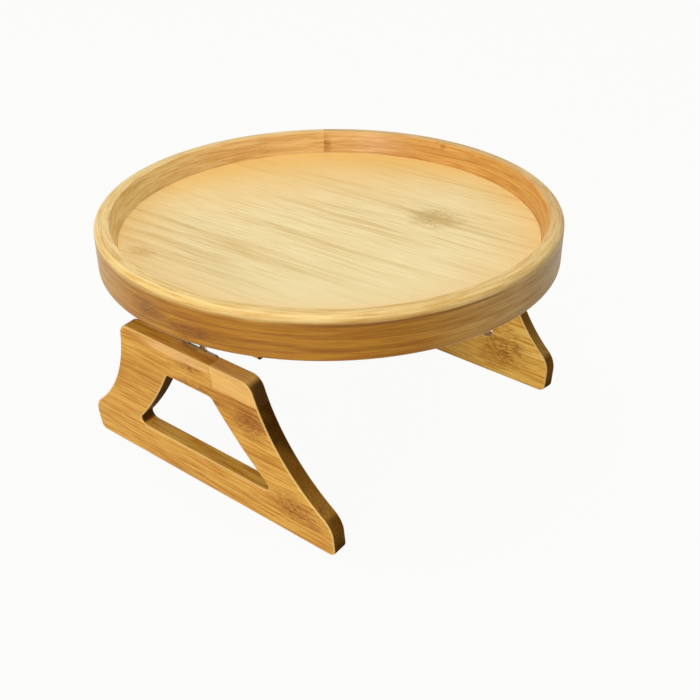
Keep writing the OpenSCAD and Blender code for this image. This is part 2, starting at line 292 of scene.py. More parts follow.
def build_joint():
    tree, given, out = new_group(
        "cane_joint",
        [("Place", "vector", None), ("Centre", "vector", None), ("Reach", "vector", None)],
        [("Dashes", "value"), ("Patch", "value")])
    place = given["Place"]
    away = vector_calc(tree, "SUBTRACT", place, given["Centre"])
    away = vector_calc(tree, "DIVIDE", away, given["Reach"])
    ragged = calc(tree, "MULTIPLY", noise(tree, place, RAGGED_EDGE), RAGGED_SHARE)
    far = calc(tree, "ADD", vector_calc(tree, "LENGTH", away), ragged)
    patch = fade(tree, far, *PATCH_EDGE)
    dashes = ramp(tree, noise(tree, place, DASHES, roughness=0.6), *DASH_EDGE)
    put(tree, out["Dashes"], calc(tree, "MULTIPLY", patch, dashes))
    put(tree, out["Patch"], patch)
    return tree


cane_joint = build_joint()
print("joint group steps:", len(cane_joint.nodes))

# %% [markdown]
# The hoop is a straight strip that was bent, so its fibres run round it. Its surface could be
# unrolled flat, but the grain would then break at its edges. Swapping X and Y for an arc length and a
# radius lets the straight-grained groups follow the bend instead. The arc starts at the back
# right, where the strip's two ends meet in a long glued scarf.

# %% Hoop place group
SCARF_ANGLE = math.radians(42.8)
HOOP_RADIUS = cad_box[1][0]
FULL_TURN = 2 * math.pi


def build_hoop_place():
    tree, given, out = new_group("hoop_place", [("Place", "vector", None)], [("Along", "vector")])
    x, y, z = split(tree, given["Place"])
    squares = calc(tree, "ADD", calc(tree, "MULTIPLY", x, x), calc(tree, "MULTIPLY", y, y))
    radius = calc(tree, "SQRT", squares)
    angle = calc(tree, "SUBTRACT", calc(tree, "ARCTAN2", y, x), SCARF_ANGLE)
    turn = calc(tree, "FRACT", calc(tree, "DIVIDE", angle, FULL_TURN))
    arc = calc(tree, "MULTIPLY", turn, FULL_TURN * HOOP_RADIUS)
    put(tree, out["Along"], join(tree, arc, z, radius))
    return tree


def hoop_at(degrees, height=0.0, radius=0.0):
    turn = ((math.radians(degrees) - SCARF_ANGLE) / FULL_TURN) % 1.0
    return (turn * FULL_TURN * HOOP_RADIUS, height, radius)


hoop_place = build_hoop_place()
print("hoop length:", round(FULL_TURN * HOOP_RADIUS, 3), "m")

# %% [markdown]
# The strips run along each board, so a place in the model has to become a place along, across
# and through its own board. Each material could turn the pattern by hand, but the bent hoop and
# the leaning legs need more than a turn, so each kind of piece gets a function. The floor's
# strips lie four degrees off the hinge line, as in the photograph. The legs' strips lie level
# along the board, so their height is measured up the leaning board and not straight up.

# %% Grain places
FLOOR_TURN = math.radians(4)
FLOOR_TOP = 117.5 * MM
LEG_LEAN = math.radians(7)
BOARD_FOOT = 12.2 * MM


def where(tree):
    return tree.nodes.new("ShaderNodeTexCoord").outputs["Object"]


def floor_place(tree):
    x, y, z = split(tree, where(tree))
    c, s = math.cos(FLOOR_TURN), math.sin(FLOOR_TURN)
    along = calc(tree, "SUBTRACT", calc(tree, "MULTIPLY", y, c), calc(tree, "MULTIPLY", x, s))
    across = calc(tree, "ADD", calc(tree, "MULTIPLY", x, c), calc(tree, "MULTIPLY", y, s))
    return join(tree, along, across, z)


def floor_at(x, y):
    c, s = math.cos(FLOOR_TURN), math.sin(FLOOR_TURN)
    return (y * c - x * s, x * c + y * s, FLOOR_TOP)


def build_leg_place():
    tree, given, out = new_group("leg_place", [("Place", "vector", None)], [("Along", "vector")])
    x, y, z = split(tree, given["Place"])
    outward = calc(tree, "ABSOLUTE", x)
    c, s = math.cos(LEG_LEAN), math.sin(LEG_LEAN)
    up = calc(tree, "ADD", calc(tree, "MULTIPLY", z, c), calc(tree, "MULTIPLY", outward, s))
    level, drop = calc(tree, "MULTIPLY", outward, c), calc(tree, "MULTIPLY", z, s)
    through = calc(tree, "SUBTRACT", level, drop)
    put(tree, out["Along"], join(tree, y, calc(tree, "SUBTRACT", up, BOARD_FOOT), through))
    return tree


leg_board_place = build_leg_place()


def leg_place(tree):
    return use_group(tree, leg_board_place, {"Place": where(tree)})["Along"]


def rail_place(tree):
    x, y, z = split(tree, where(tree))
    return join(tree, y, x, z)


def hoop_grain_place(tree):
    return use_group(tree, hoop_place, {"Place": where(tree)})["Along"]


print("floor grain turned", round(math.degrees(FLOOR_TURN)), "degrees")

# %% [markdown]
# The colour comes from the grain masks. It could be one ramp over a single noise, but then strips,
# streaks and fibres would all change together. Here the strip's shade and the streaks pick a
# place between a light and a dark straw, the fibres tint it, and the glue line between two strips
# is a thin mark, so each can be strong on one piece and faint on another.

# %% Bamboo colour group
FIBRE_EDGE = (0.42, 0.62)
EVEN_SHARE = 0.5


def build_colour():
    masks = [(name, "value", 0.0) for name in ("Tone", "Streak", "Fibre", "Glue Line")]
    shares = [(name + " Share", "value", EVEN_SHARE) for name in ("Tone", "Streak", "Fibre", "Line")]
    colours = [(name, "colour", None) for name in ("Light", "Dark", "Fibre Colour", "Mark")]
    tree, given, out = new_group("bamboo_colour", masks + shares + colours, [("Colour", "colour")])
    tone = calc(tree, "MULTIPLY", given["Tone"], given["Tone Share"])
    streak = calc(tree, "MULTIPLY", given["Streak"], given["Streak Share"])
    share = calc(tree, "ADD", tone, streak, clamp=True)
    colour = blend(tree, share, given["Light"], given["Dark"])
    fibre = calc(tree, "MULTIPLY", ramp(tree, given["Fibre"], *FIBRE_EDGE), given["Fibre Share"])
    colour = blend(tree, fibre, colour, given["Fibre Colour"], "MULTIPLY")
    line = calc(tree, "MULTIPLY", given["Glue Line"], given["Line Share"])
    put(tree, out["Colour"], blend(tree, line, colour, given["Mark"]))
    return tree


bamboo_colour = build_colour()
print("colour group steps:", len(bamboo_colour.nodes))

# %% [markdown]
# Where a leg's strips are sawn across, their open pores drink in the varnish and turn dark brown,
# and the ends are painted darker still as painted shade. Along the sanded edges a painted
# highlight stands in for the light they catch. These could be faces with a material of their own,
# but then the change would be a hard line. The group reads which way the surface faces instead,
# so the colour turns gradually with the rounded edge.

# %% End grain group
PORES = (60.0, 2600.0, 2600.0)
PORE_EDGE = (0.4, 0.6)
PORE_STRENGTH = 0.5
CLOUDS = (30.0, 45.0, 45.0)
CLOUD_EDGE = (0.45, 0.62)
# How far a surface has to face along the board to count as a sawn end, and how far through the
# board to count as a rounded edge: 0 is not at all, 1 is fully.
END_TURN = (0.35, 0.85)
END_STRENGTH = 0.92
ARRIS_COMES, ARRIS_GOES = (0.2, 0.36), (0.94, 0.98)
ARRIS_HIGHLIGHT_STRENGTH = 0.72


def build_end_grain():
    tree, given, out = new_group(
        "end_grain", [("Place", "vector", None), ("Facing", "vector", None)],
        [("End", "value"), ("Pores", "value"), ("Cloud", "value"), ("Arris Highlight", "value")])
    place = given["Place"]
    sideways, lengthways = [calc(tree, "ABSOLUTE", part) for part in split(tree, given["Facing"])[:2]]
    # The end mask browns the sawn ends: partly the end grain's own colour, partly painted shade.
    end = ramp(tree, lengthways, *END_TURN, 0.0, END_STRENGTH)
    pores = ramp(tree, noise(tree, place, PORES, detail=1.0), *PORE_EDGE, 0.0, PORE_STRENGTH)
    cloud = ramp(tree, noise(tree, place, CLOUDS, detail=1.0), *CLOUD_EDGE)
    # Painted highlight: paler along the rounded edges.
    arris_highlight = calc(tree, "MULTIPLY", ramp(tree, sideways, *ARRIS_COMES, 0.0, ARRIS_HIGHLIGHT_STRENGTH),
                 fade(tree, sideways, *ARRIS_GOES))
    for label, value in (("End", end), ("Pores", pores), ("Cloud", cloud), ("Arris Highlight", arris_highlight)):
        put(tree, out[label], value)
    return tree


end_grain = build_end_grain()


def end_masks(tree, place):
    normal = tree.nodes.new("ShaderNodeTexCoord").outputs["Normal"]
    return use_group(tree, end_grain, {"Place": place, "Facing": normal})


print("end grain group steps:", len(end_grain.nodes))

# %% [markdown]
# Every bamboo piece has grain and a satin varnish, and most have cane joints. Each could have a
# recipe of its own, but one for all makes them look like one material. It takes the grain masks and
# their colour, and each cane joint adds a warm patch with dark dashes. The varnish is a thin
# clear coat, and the fibres still show through it as a very shallow bump. On the legs and rails
# the coat thins out on the thirsty end grain.

# %% Bamboo recipe
GLOSS_FIBRES = (0.35, 0.7)
GLOSS_SPREAD = 0.14
VARNISH_ROUGHNESS = 0.25
BUMP_DEPTH = 0.3 * MM


def new_material(name):
    material = bpy.data.materials.new(name)
    material.use_nodes = True
    return material, material.node_tree, material.node_tree.nodes["Principled BSDF"]


def joints_of(tree, place, centres):
    dashes, patch = 0.0, 0.0
    for centre, reach in centres:
        mark = use_group(tree, cane_joint, {"Place": place, "Centre": centre, "Reach": reach})
        dashes = calc(tree, "MAXIMUM", mark["Dashes"], dashes)
        patch = calc(tree, "MAXIMUM", mark["Patch"], patch)
    return dashes, patch


def bamboo(name, placer, look, centres=()):
    material, tree, shader = new_material(name)
    place = placer(tree)
    grain = use_group(tree, bamboo_grain, {"Place": place, "Strip Width": look["strip"],
                                           "Streak Shape": look["streak_shape"],
                                           "Seed": look["seed"]})
    light, dark = look["shades"](tree, place)
    colour = use_group(tree, bamboo_colour, {
        "Tone": grain["Tone"], "Tone Share": look["tone"],
        "Streak": ramp(tree, grain["Streak"], *look["streak_edge"]), "Streak Share": look["streak"],
        "Fibre": grain["Fibre"], "Fibre Share": look["fibre"],
        "Glue Line": grain["Glue Line"], "Line Share": look["line"],
        "Light": light, "Dark": dark, "Fibre Colour": look["fibre_colour"],
        "Mark": look["mark"]})["Colour"]
    bumps = grain["Height"]
    if centres:
        dashes, patch = joints_of(tree, place, centres)
        warm = calc(tree, "MULTIPLY", patch, look["patch"])
        colour = blend(tree, warm, colour, look["patch_colour"], "MULTIPLY")
        colour = blend(tree, calc(tree, "MULTIPLY", dashes, look["dash"]), colour, look["mark"])
        bumps = calc(tree, "SUBTRACT", bumps, dashes)
    for step in look["extra"]:
        colour = step(tree, place, colour)
    put(tree, shader.inputs["Base Color"], colour)
    gloss = look["gloss"]
    rough = ramp(tree, grain["Fibre"], *GLOSS_FIBRES, gloss, gloss + GLOSS_SPREAD)
    put(tree, shader.inputs["Roughness"], rough)
    shader.inputs["Specular IOR Level"].default_value = look["shine"]
    if look["dry_ends"]:
        dry = calc(tree, "SUBTRACT", 1.0, end_masks(tree, place)["End"])
        put(tree, shader.inputs["Coat Weight"], calc(tree, "MULTIPLY", dry, look["coat"]))
    else:
        shader.inputs["Coat Weight"].default_value = look["coat"]
    shader.inputs["Coat Roughness"].default_value = VARNISH_ROUGHNESS
    bump = tree.nodes.new("ShaderNodeBump")
    bump.inputs["Strength"].default_value = look["bump"]
    bump.inputs["Distance"].default_value = BUMP_DEPTH
    put(tree, bump.inputs["Height"], bumps)
    put(tree, shader.inputs["Normal"], bump.outputs["Normal"])
    return material


print("varnish roughness:", VARNISH_ROUGHNESS, "bump depth:", BUMP_DEPTH, "m")

# %% [markdown]
# The hoop isn't one colour all round. Its sanded top edge is paler than its faces, and the outer
# wall is a deep honey in front and paler towards the right, partly the cane's own tone and partly
# painted light where the lamps reach that side weakly. The inner wall is painted palest on the
# left, where it faces away from the lamps, and darker at the back right: painted light and painted
# shade. The top edge is painted darker on the right, as painted shade. Each could be a material of
# its own, but they flow into each other. So the place on the hoop, as an arc length, a height and
# a radius, fades one pair of shades into the next. One dark vein runs under the front edge.

# %% Hoop tints
# Each pair is the light and the dark straw between which the grain chooses.
# Partly the cane's own tone and partly painted light: the outer wall is paler away from the front.
WALL = (srgb(206, 166, 94), srgb(174, 132, 62))
WALL_FRONT = (srgb(184, 128, 36), srgb(140, 89, 16))
EDGE = (srgb(240, 212, 144), srgb(222, 186, 112))
# Painted shade: the top edge is darker on the right.
EDGE_RIGHT_SHADE = (srgb(222, 188, 120), srgb(200, 164, 96))
INNER = (srgb(238, 196, 128), srgb(214, 168, 98))
# Painted light: the inner wall on the left faces away from the lamps and is painted palest.
INNER_LEFT_LIGHT = (srgb(254, 228, 162), srgb(246, 212, 140))
# Painted shade: the inner wall at the back right is painted darker.
INNER_RIGHT_SHADE = (srgb(222, 170, 92), srgb(194, 140, 64))
INNER_RADII = (117.2 * MM, 118.4 * MM)
EDGE_HEIGHTS = (124.2 * MM, 128.4 * MM)
# Degrees from the right, turning towards the back, between which a tint, a painted light or a
# painted shade comes or goes.
FRONT_COMES, FRONT_GOES = (-232, -170), (-125, -92)
LEFT_LIGHT_COMES, LEFT_LIGHT_GOES = (60, 115), (-140, -100)
RIGHT_SHADE_COMES, RIGHT_SHADE_THINS = (-95, -45), (10, 40)
RIGHT_SHADE_LEAST = 0.3


def comes(tree, arc, degrees):
    return ramp(tree, arc, *(hoop_at(turn)[0] for turn in degrees))


def goes(tree, arc, degrees, least=0.0):
    return fade(tree, arc, *(hoop_at(turn)[0] for turn in degrees), least=least)


def hoop_shades(tree, place):
    arc, height, radius = split(tree, place)
    inside = fade(tree, radius, *INNER_RADII)
    top = ramp(tree, height, *EDGE_HEIGHTS)
    front = calc(tree, "MULTIPLY", comes(tree, arc, FRONT_COMES), goes(tree, arc, FRONT_GOES))
    # The left mask lays on painted light, and the right and shaded masks lay on painted shade.
    left = calc(tree, "MULTIPLY", comes(tree, arc, LEFT_LIGHT_COMES), goes(tree, arc, LEFT_LIGHT_GOES))
    right = comes(tree, arc, RIGHT_SHADE_COMES)
    shaded = calc(tree, "MULTIPLY", right, goes(tree, arc, RIGHT_SHADE_THINS, RIGHT_SHADE_LEAST))
    shades = []
    for shade in (0, 1):
        wall = blend(tree, front, WALL[shade], WALL_FRONT[shade])
        edge = blend(tree, right, EDGE[shade], EDGE_RIGHT_SHADE[shade])
        inner = blend(tree, left, INNER[shade], INNER_LEFT_LIGHT[shade])
        inner = blend(tree, shaded, inner, INNER_RIGHT_SHADE[shade])
        shades.append(blend(tree, inside, blend(tree, top, wall, edge), inner))
    return shades


VEIN_COLOUR = srgb(128, 78, 24)
VEIN_HEIGHT = 125.2 * MM
VEIN_WAVES = (14.0, 0.0, 0.0)
VEIN_WANDER = 2.4 * MM
VEIN_HALF = (0.2 * MM, 1.0 * MM)
VEIN_MIDDLE = -121
VEIN_REACH = (35 * MM, 70 * MM)
VEIN_STRENGTH = 0.8
VEIN_RADII = (121 * MM, 123 * MM)


def dark_vein(tree, place, colour):
    arc, height, radius = split(tree, place)
    wave = calc(tree, "SUBTRACT", noise(tree, place, VEIN_WAVES), 0.5)
    wander = calc(tree, "MULTIPLY", wave, VEIN_WANDER)
    above = calc(tree, "SUBTRACT", calc(tree, "ADD", height, wander), VEIN_HEIGHT)
    line = fade(tree, calc(tree, "ABSOLUTE", above), *VEIN_HALF)
    along = calc(tree, "ABSOLUTE", calc(tree, "SUBTRACT", arc, hoop_at(VEIN_MIDDLE)[0]))
    here = calc(tree, "MULTIPLY", line, fade(tree, along, *VEIN_REACH, VEIN_STRENGTH))
    outside = calc(tree, "MULTIPLY", here, ramp(tree, radius, *VEIN_RADII))
    return blend(tree, outside, colour, VEIN_COLOUR)


print("vein on the hoop:", VEIN_MIDDLE, "degrees,", round(VEIN_HEIGHT / MM, 1), "mm high")

# %% [markdown]
# The legs' strips are short pieces laid end to end, and the left leg shows one such butt joint
# near its top: a thin dark gap with a paler strip on one side. Below that strip lies a darker
# patch, and a narrow painted highlight lies along the top edge. A second board could be modelled,
# but the joint is flush, so it is only a change of colour at a measured place. The sawn ends are
# browned, partly as end grain and partly as painted shade, and their rounded edges get a painted
# highlight, with the masks of the end grain group.

# %% Leg tints
# The ends' brown is partly the end grain's own colour and partly painted shade.
END_BROWN, END_TAN = srgb(60, 30, 2), srgb(126, 80, 22)
PORE_COLOUR = srgb(44, 22, 2)
# Painted highlight on the rounded edges of the legs.
ARRIS_HIGHLIGHT = srgb(240, 200, 128)


def dark_ends_and_shade(tree, place, colour):
    cut = end_masks(tree, place)
    brown = blend(tree, cut["Cloud"], END_BROWN, END_TAN)
    brown = blend(tree, cut["Pores"], brown, PORE_COLOUR)
    colour = blend(tree, cut["End"], colour, brown)
    return blend(tree, cut["Arris Highlight"], colour, ARRIS_HIGHLIGHT)


# Along and up the left board.
STRIP_FOOT = (76.0 * MM, 76.3 * MM)
BUTT_AT = 19.3 * MM
BUTT_SIDE = (-19.5 * MM, -19.1 * MM)
BUTT_GAP = (0.1 * MM, 0.35 * MM)
BUTT_STRENGTH = 0.5
PALE_STRIP, GAP_COLOUR = srgb(244, 194, 118), srgb(130, 82, 28)


def butt_joint(tree, place, colour):
    along, up = split(tree, place)[:2]
    strip = ramp(tree, up, *STRIP_FOOT)
    near = calc(tree, "MULTIPLY", strip, fade(tree, along, *BUTT_SIDE))
    gap = fade(tree, calc(tree, "ABSOLUTE", calc(tree, "ADD", along, BUTT_AT)), *BUTT_GAP)
    colour = blend(tree, calc(tree, "MULTIPLY", near, BUTT_STRENGTH), colour, PALE_STRIP)
    dark = calc(tree, "MULTIPLY", calc(tree, "MULTIPLY", gap, strip), BUTT_STRENGTH)
    return blend(tree, dark, colour, GAP_COLOUR)


OVAL_EDGE = (0.7, 1.3)
# Centre and reach, in metres along, up and through the board. A reach of 1 goes right through.
TOP_HIGHLIGHT_OVAL = ((0.004, 0.0862, 0.10), (0.026, 0.0028, 1.0))
TOP_HIGHLIGHT_SHARE, TOP_HIGHLIGHT_COLOUR = 0.5, srgb(240, 190, 128)
DARK_OVAL = ((-0.038, 0.0700, 0.10), (0.022, 0.0080, 1.0))
DARK_SHARE, DARK_COLOUR = 0.6, srgb(214, 190, 158)
DARK_TOP = (75.8 * MM, 76.2 * MM)


def oval(tree, place, centre, reach):
    away = vector_calc(tree, "DIVIDE", vector_calc(tree, "SUBTRACT", place, centre), reach)
    return fade(tree, vector_calc(tree, "LENGTH", away), *OVAL_EDGE)


def leg_tints(tree, place, colour):
    # Painted highlight: a narrow paler band along the top edge.
    pale = calc(tree, "MULTIPLY", oval(tree, place, *TOP_HIGHLIGHT_OVAL), TOP_HIGHLIGHT_SHARE)
    below = fade(tree, split(tree, place)[1], *DARK_TOP)
    dark = calc(tree, "MULTIPLY", oval(tree, place, *DARK_OVAL), below)
    colour = blend(tree, pale, colour, TOP_HIGHLIGHT_COLOUR)
    return blend(tree, calc(tree, "MULTIPLY", dark, DARK_SHARE), colour, DARK_COLOUR, "MULTIPLY")


print("butt joint:", round(BUTT_AT / MM, 1), "mm from the middle of the left leg")

# %% [markdown]
# The floor is palest towards the front and warmer towards the back and near the wall. Part of that
# is light bounced off the hoop, which the lamps here don't give as strongly. More lamps could be
# tried, but they would wash out the legs, so the floor's own colour changes a little instead.

# %% Floor tints
WARM_STRAW, PALE_STRAW = srgb(241, 193, 106), srgb(250, 230, 172)
WALL_RADII, WALL_SHARE = (70 * MM, 114 * MM), 0.42
BACK_DEPTHS, BACK_SHARE = (10 * MM, 150 * MM), 0.8
FRONT_DEPTHS, FRONT_SHARE = (-140 * MM, -20 * MM), 0.7
# Times this, a place loses its height.
LEVEL = (1.0, 1.0, 0.0)


def floor_tints(tree, place, colour):
    radius = vector_calc(tree, "LENGTH", vector_calc(tree, "MULTIPLY", place, LEVEL))
    near = ramp(tree, radius, *WALL_RADII, 0.0, WALL_SHARE)
    along, across = split(tree, place)[:2]
    depth = calc(tree, "ADD", along, across)
    back = ramp(tree, depth, *BACK_DEPTHS, 0.0, BACK_SHARE)
    front = fade(tree, depth, *FRONT_DEPTHS, FRONT_SHARE)
    colour = blend(tree, front, colour, PALE_STRAW)
    return blend(tree, calc(tree, "MAXIMUM", near, back), colour, WARM_STRAW)


print("floor tint near the wall:", WALL_SHARE)

# %% [markdown]
# The tray's parts come from different cane: the floor is pale and calm, the hoop is bent from one
# close-grained strip, and the legs are warm with strong fibres. Each could have a network of its
# own. A list of values for one recipe is used instead, because two looks are then easy to compare
# and to tune. The joints are listed at the places where the photograph shows them.

# %% Bamboo finishes
def even_shades(light, dark):
    return lambda tree, place: (light, dark)


FLOOR_LOOK = dict(
    shades=even_shades(srgb(247, 226, 168), srgb(224, 194, 124)), fibre_colour=srgb(232, 212, 168),
    mark=srgb(158, 128, 72), patch_colour=srgb(226, 212, 170), strip=20 * MM, seed=3.0,
    tone=0.25, streak=0.8, streak_shape=(9.0, 190.0, 190.0), streak_edge=(0.48, 0.7),
    fibre=0.5, line=0.05, patch=0.7, dash=0.5,
    shine=0.3, gloss=0.36, coat=0.12, dry_ends=False, bump=0.08, extra=(floor_tints,))
RIM_LOOK = dict(
    shades=hoop_shades, fibre_colour=srgb(226, 198, 150),
    mark=srgb(112, 70, 20), patch_colour=srgb(214, 190, 146), strip=24 * MM, seed=5.0,
    tone=0.2, streak=0.65, streak_shape=(14.0, 420.0, 420.0), streak_edge=(0.38, 0.7),
    fibre=0.8, line=0.05, patch=0.7, dash=0.6,
    shine=0.22, gloss=0.38, coat=0.08, dry_ends=False, bump=0.22, extra=(dark_vein,))
LEG_LOOK = dict(
    shades=even_shades(srgb(232, 181, 84), srgb(202, 145, 52)), fibre_colour=srgb(218, 182, 124),
    mark=srgb(122, 74, 20), patch_colour=srgb(214, 182, 128), strip=STRIP_WIDTH, seed=2.0,
    tone=0.6, streak=0.42, streak_shape=(17.0, 420.0, 420.0), streak_edge=(0.38, 0.7),
    fibre=0.95, line=0.12, patch=0.5, dash=0.75,
    shine=0.0, gloss=0.46, coat=0.3, dry_ends=True, bump=0.25, extra=(dark_ends_and_shade,))
LEFT_LOOK = dict(LEG_LOOK, extra=(leg_tints, butt_joint, dark_ends_and_shade))
# Painted light: the right leg is painted paler than the left, in place of the light that the lamps don't
# bring under the tray to its inner face.
RIGHT_LIT_LOOK = dict(LEG_LOOK, seed=6.0, shades=even_shades(srgb(250, 210, 112), srgb(236, 182, 80)))
RAIL_LOOK = dict(LEG_LOOK, strip=13 * MM, seed=9.0)

# Centre and reach of each cane joint, in metres, in the grain place of its piece.
FLOOR_JOINTS = [
    (floor_at(0.045, -0.038), (0.018, 0.015, 1.0)),
    (floor_at(-0.087, 0.055), (0.011, 0.007, 1.0))]
RIM_JOINTS = [
    (hoop_at(42.4, 0.122, 0.116), (0.006, 0.006, 0.006)),
    (hoop_at(4.3, 0.1275, 0.117), (0.003, 0.002, 0.005)),
    (hoop_at(-183.0, 0.1170, 0.125), (0.016, 0.006, 0.006)),
    (hoop_at(-170.0, 0.1135, 0.125), (0.020, 0.005, 0.006))]
LEFT_JOINTS = [
    ((-0.042, 0.0630, 0.10), (0.012, 0.012, 1.0)),
    ((-0.006, 0.0690, 0.10), (0.018, 0.0050, 1.0)),
    ((-0.066, 0.0200, 0.10), (0.020, 0.012, 1.0)),
    ((-0.003, 0.0820, 0.10), (0.015, 0.0034, 1.0))]
RIGHT_JOINTS = [
    ((-0.056, 0.0185, 0.10), (0.022, 0.015, 1.0)),
    ((0.040, 0.0475, 0.10), (0.012, 0.011, 1.0))]

finishes = {
    "rim_hoop": bamboo("rim_bamboo_finish", hoop_grain_place, RIM_LOOK, RIM_JOINTS),
    "floor_panel": bamboo("floor_bamboo_finish", floor_place, FLOOR_LOOK, FLOOR_JOINTS),
}
board_finishes = {
    "left": bamboo("leg_left_bamboo_finish", leg_place, LEFT_LOOK, LEFT_JOINTS),
    "right": bamboo("leg_right_bamboo_painted_light_finish", leg_place, RIGHT_LIT_LOOK, RIGHT_JOINTS),
}
rail_finish = bamboo("rail_bamboo_finish", rail_place, RAIL_LOOK)
for side in SIDES:
    finishes["rail_" + side] = rail_finish
print("bamboo finishes:", sorted(finishes))

# %% [markdown]
# The hinges, their springs and the screws are zinc plated. The plating has a soft cloud of fine
# crystals and faint lines from the rolling mill. A plain grey metal would look like a mirror, and a
# bump would look cast. So the cloud changes the colour a little, and the lines change how sharp the
# reflections are.

# %% Plated steel finish
CRYSTALS, CRYSTAL_EDGE = (260.0, 260.0, 260.0), (0.35, 0.7)
MILL_LINES, MILL_EDGE = (3000.0, 90.0, 3000.0), (0.3, 0.7)
STEEL_SPREAD = 0.16


def build_plating():
    tree, given, out = new_group("plating", [("Place", "vector", None)],
                                 [("Cloud", "value"), ("Lines", "value")])
    cloud = noise(tree, given["Place"], CRYSTALS, detail=3.0, roughness=0.6)
    lines = noise(tree, given["Place"], MILL_LINES)
    put(tree, out["Cloud"], ramp(tree, cloud, *CRYSTAL_EDGE))
    put(tree, out["Lines"], ramp(tree, lines, *MILL_EDGE))
    return tree


plating = build_plating()


def plated(name, bright, dull, roughness):
    material, tree, shader = new_material(name)
    coat = use_group(tree, plating, {"Place": where(tree)})
    put(tree, shader.inputs["Base Color"], blend(tree, coat["Cloud"], bright, dull))
    rough = ramp(tree, coat["Lines"], 0.0, 1.0, roughness, roughness + STEEL_SPREAD)
    put(tree, shader.inputs["Roughness"], rough)
    shader.inputs["Metallic"].default_value = 1.0
    return material


hinge_finish = plated("hinge_steel_finish", srgb(206, 206, 202), srgb(176, 177, 174), roughness=0.24)
spring_finish = plated("spring_steel_finish", srgb(170, 170, 172), srgb(138, 138, 142), roughness=0.22)
screw_finish = plated("screw_steel_finish", srgb(212, 208, 196), srgb(184, 178, 164), roughness=0.2)
for side in SIDES:
    for leaf in ("hinge_fixed_leaf_", "hinge_moving_leaf_", "hinge_pin_"):
        finishes[leaf + side] = hinge_finish
    for screws in ("rail_screws_", "fixed_leaf_screws_", "moving_leaf_screws_"):
        finishes[screws + side] = screw_finish
print("pieces with a finish so far:", len(finishes))

# %% [markdown]
# The legs are cut from a 9 mm board and sanded round along every edge. Their sides are hollow
# curves between a round toe and a small corner. They could be drawn by hand as curves, but arcs
# that touch without a kink can be worked out from their radii. A board is one closed outline with
# a second one for the window, and each is repeated at ten depths. Near the two faces the board's
# outline is a little smaller and the window's a little larger, which makes the rounded edges.

# %% Leg outline
# All in millimetres. The hinge axis is the origin of a leg, X points outwards and Z up the board.
HINGE_REACH = 101.7
HINGE_HEIGHT = 95.3
BOARD_INNER = 2.4
BOARD_T = 9.0
EASE = 0.9
BOARD_TOP = 5.4
BOARD_LOW = (HINGE_HEIGHT - (BOARD_INNER + BOARD_T - EASE) * math.sin(LEG_LEAN)) / math.cos(LEG_LEAN)
FOOT_HALF, FOOT_R = 89.25, 4.0
TOE_R, TOE_HEIGHT = 13.5, 12.5
TOP_HALF, TOP_R = 48.0, 7.0
SIDE_R = 106.0
WINDOW_SILL, WINDOW_HEIGHT = 22.0, 46.5
WINDOW_FOOT_HALF, WINDOW_FOOT_R = 47.75, 3.5
WINDOW_TOP_HALF, WINDOW_TOP_R = 17.5, 3.0
WINDOW_SIDE_R = 230.0
FOOT_STEPS, TOE_STEPS, SIDE_STEPS, CORNER_STEPS = 8, 16, 30, 12
EASE_STEPS = 4


def bend(centre, radius, start, end, steps):
    turns = [math.radians(start + (end - start) * i / steps) for i in range(steps + 1)]
    return [(centre[0] + radius * math.cos(t), centre[1] + radius * math.sin(t)) for t in turns]


def meet(p1, r1, p2, r2):
    dx, dy = p2[0] - p1[0], p2[1] - p1[1]
    d = math.hypot(dx, dy)
    along = (r1 * r1 - r2 * r2 + d * d) / (2 * d)
    aside = math.sqrt(r1 * r1 - along * along)
    return (p1[0] + (along * dx + aside * dy) / d, p1[1] + (along * dy - aside * dx) / d)


# The last point of an arc is also the first of the next, so it is left out.
def waisted_half(toe, toe_r, toe_start, corner, corner_r, side_r, inset):
    side = meet(toe, side_r + toe_r, corner, side_r + corner_r)
    toe_end = math.degrees(math.atan2(side[1] - toe[1], side[0] - toe[0]))
    corner_start = math.degrees(math.atan2(side[1] - corner[1], side[0] - corner[0]))
    return (bend(toe, toe_r - inset, toe_start, toe_end, TOE_STEPS)[:-1]
            + bend(side, side_r + inset, 180 + toe_end, 180 + corner_start, SIDE_STEPS)[:-1]
            + bend(corner, corner_r - inset, corner_start, 90, CORNER_STEPS))


def both_halves(half):
    return half + [(-y, z) for y, z in reversed(half)]


def board_outline(inset):
    foot = bend((FOOT_HALF - FOOT_R, FOOT_R), FOOT_R - inset, -90, 0, FOOT_STEPS)
    toe = (FOOT_HALF - TOE_R, TOE_HEIGHT)
    corner = (TOP_HALF - TOP_R, BOARD_LOW - BOARD_TOP - TOP_R)
    return both_halves(foot + waisted_half(toe, TOE_R, 0, corner, TOP_R, SIDE_R, inset))


def window_outline(inset):
    toe = (WINDOW_FOOT_HALF - WINDOW_FOOT_R, WINDOW_FOOT_R)
    corner = (WINDOW_TOP_HALF - WINDOW_TOP_R, WINDOW_HEIGHT - WINDOW_TOP_R)
    half = waisted_half(toe, WINDOW_FOOT_R, -90, corner, WINDOW_TOP_R, WINDOW_SIDE_R, inset)
    return both_halves([(y, z + WINDOW_SILL) for y, z in half])


turns = [math.radians(90 * k / EASE_STEPS) for k in range(EASE_STEPS + 1)]
rounding = [(EASE * (1 - math.sin(t)), EASE * (1 - math.cos(t))) for t in turns]
DEPTHS = rounding + [(inset, BOARD_T - depth) for inset, depth in reversed(rounding)]
print("outline points:", len(board_outline(0)), "window points:", len(window_outline(0)))
print("depths:", len(DEPTHS))

# %% [markdown]
# A board is a stack of outlines. A flat shape could be pushed out and bevelled, but the rounded edge
# is already in the outlines. So walls join each outline to the next, and a filled face with a hole
# closes both sides.

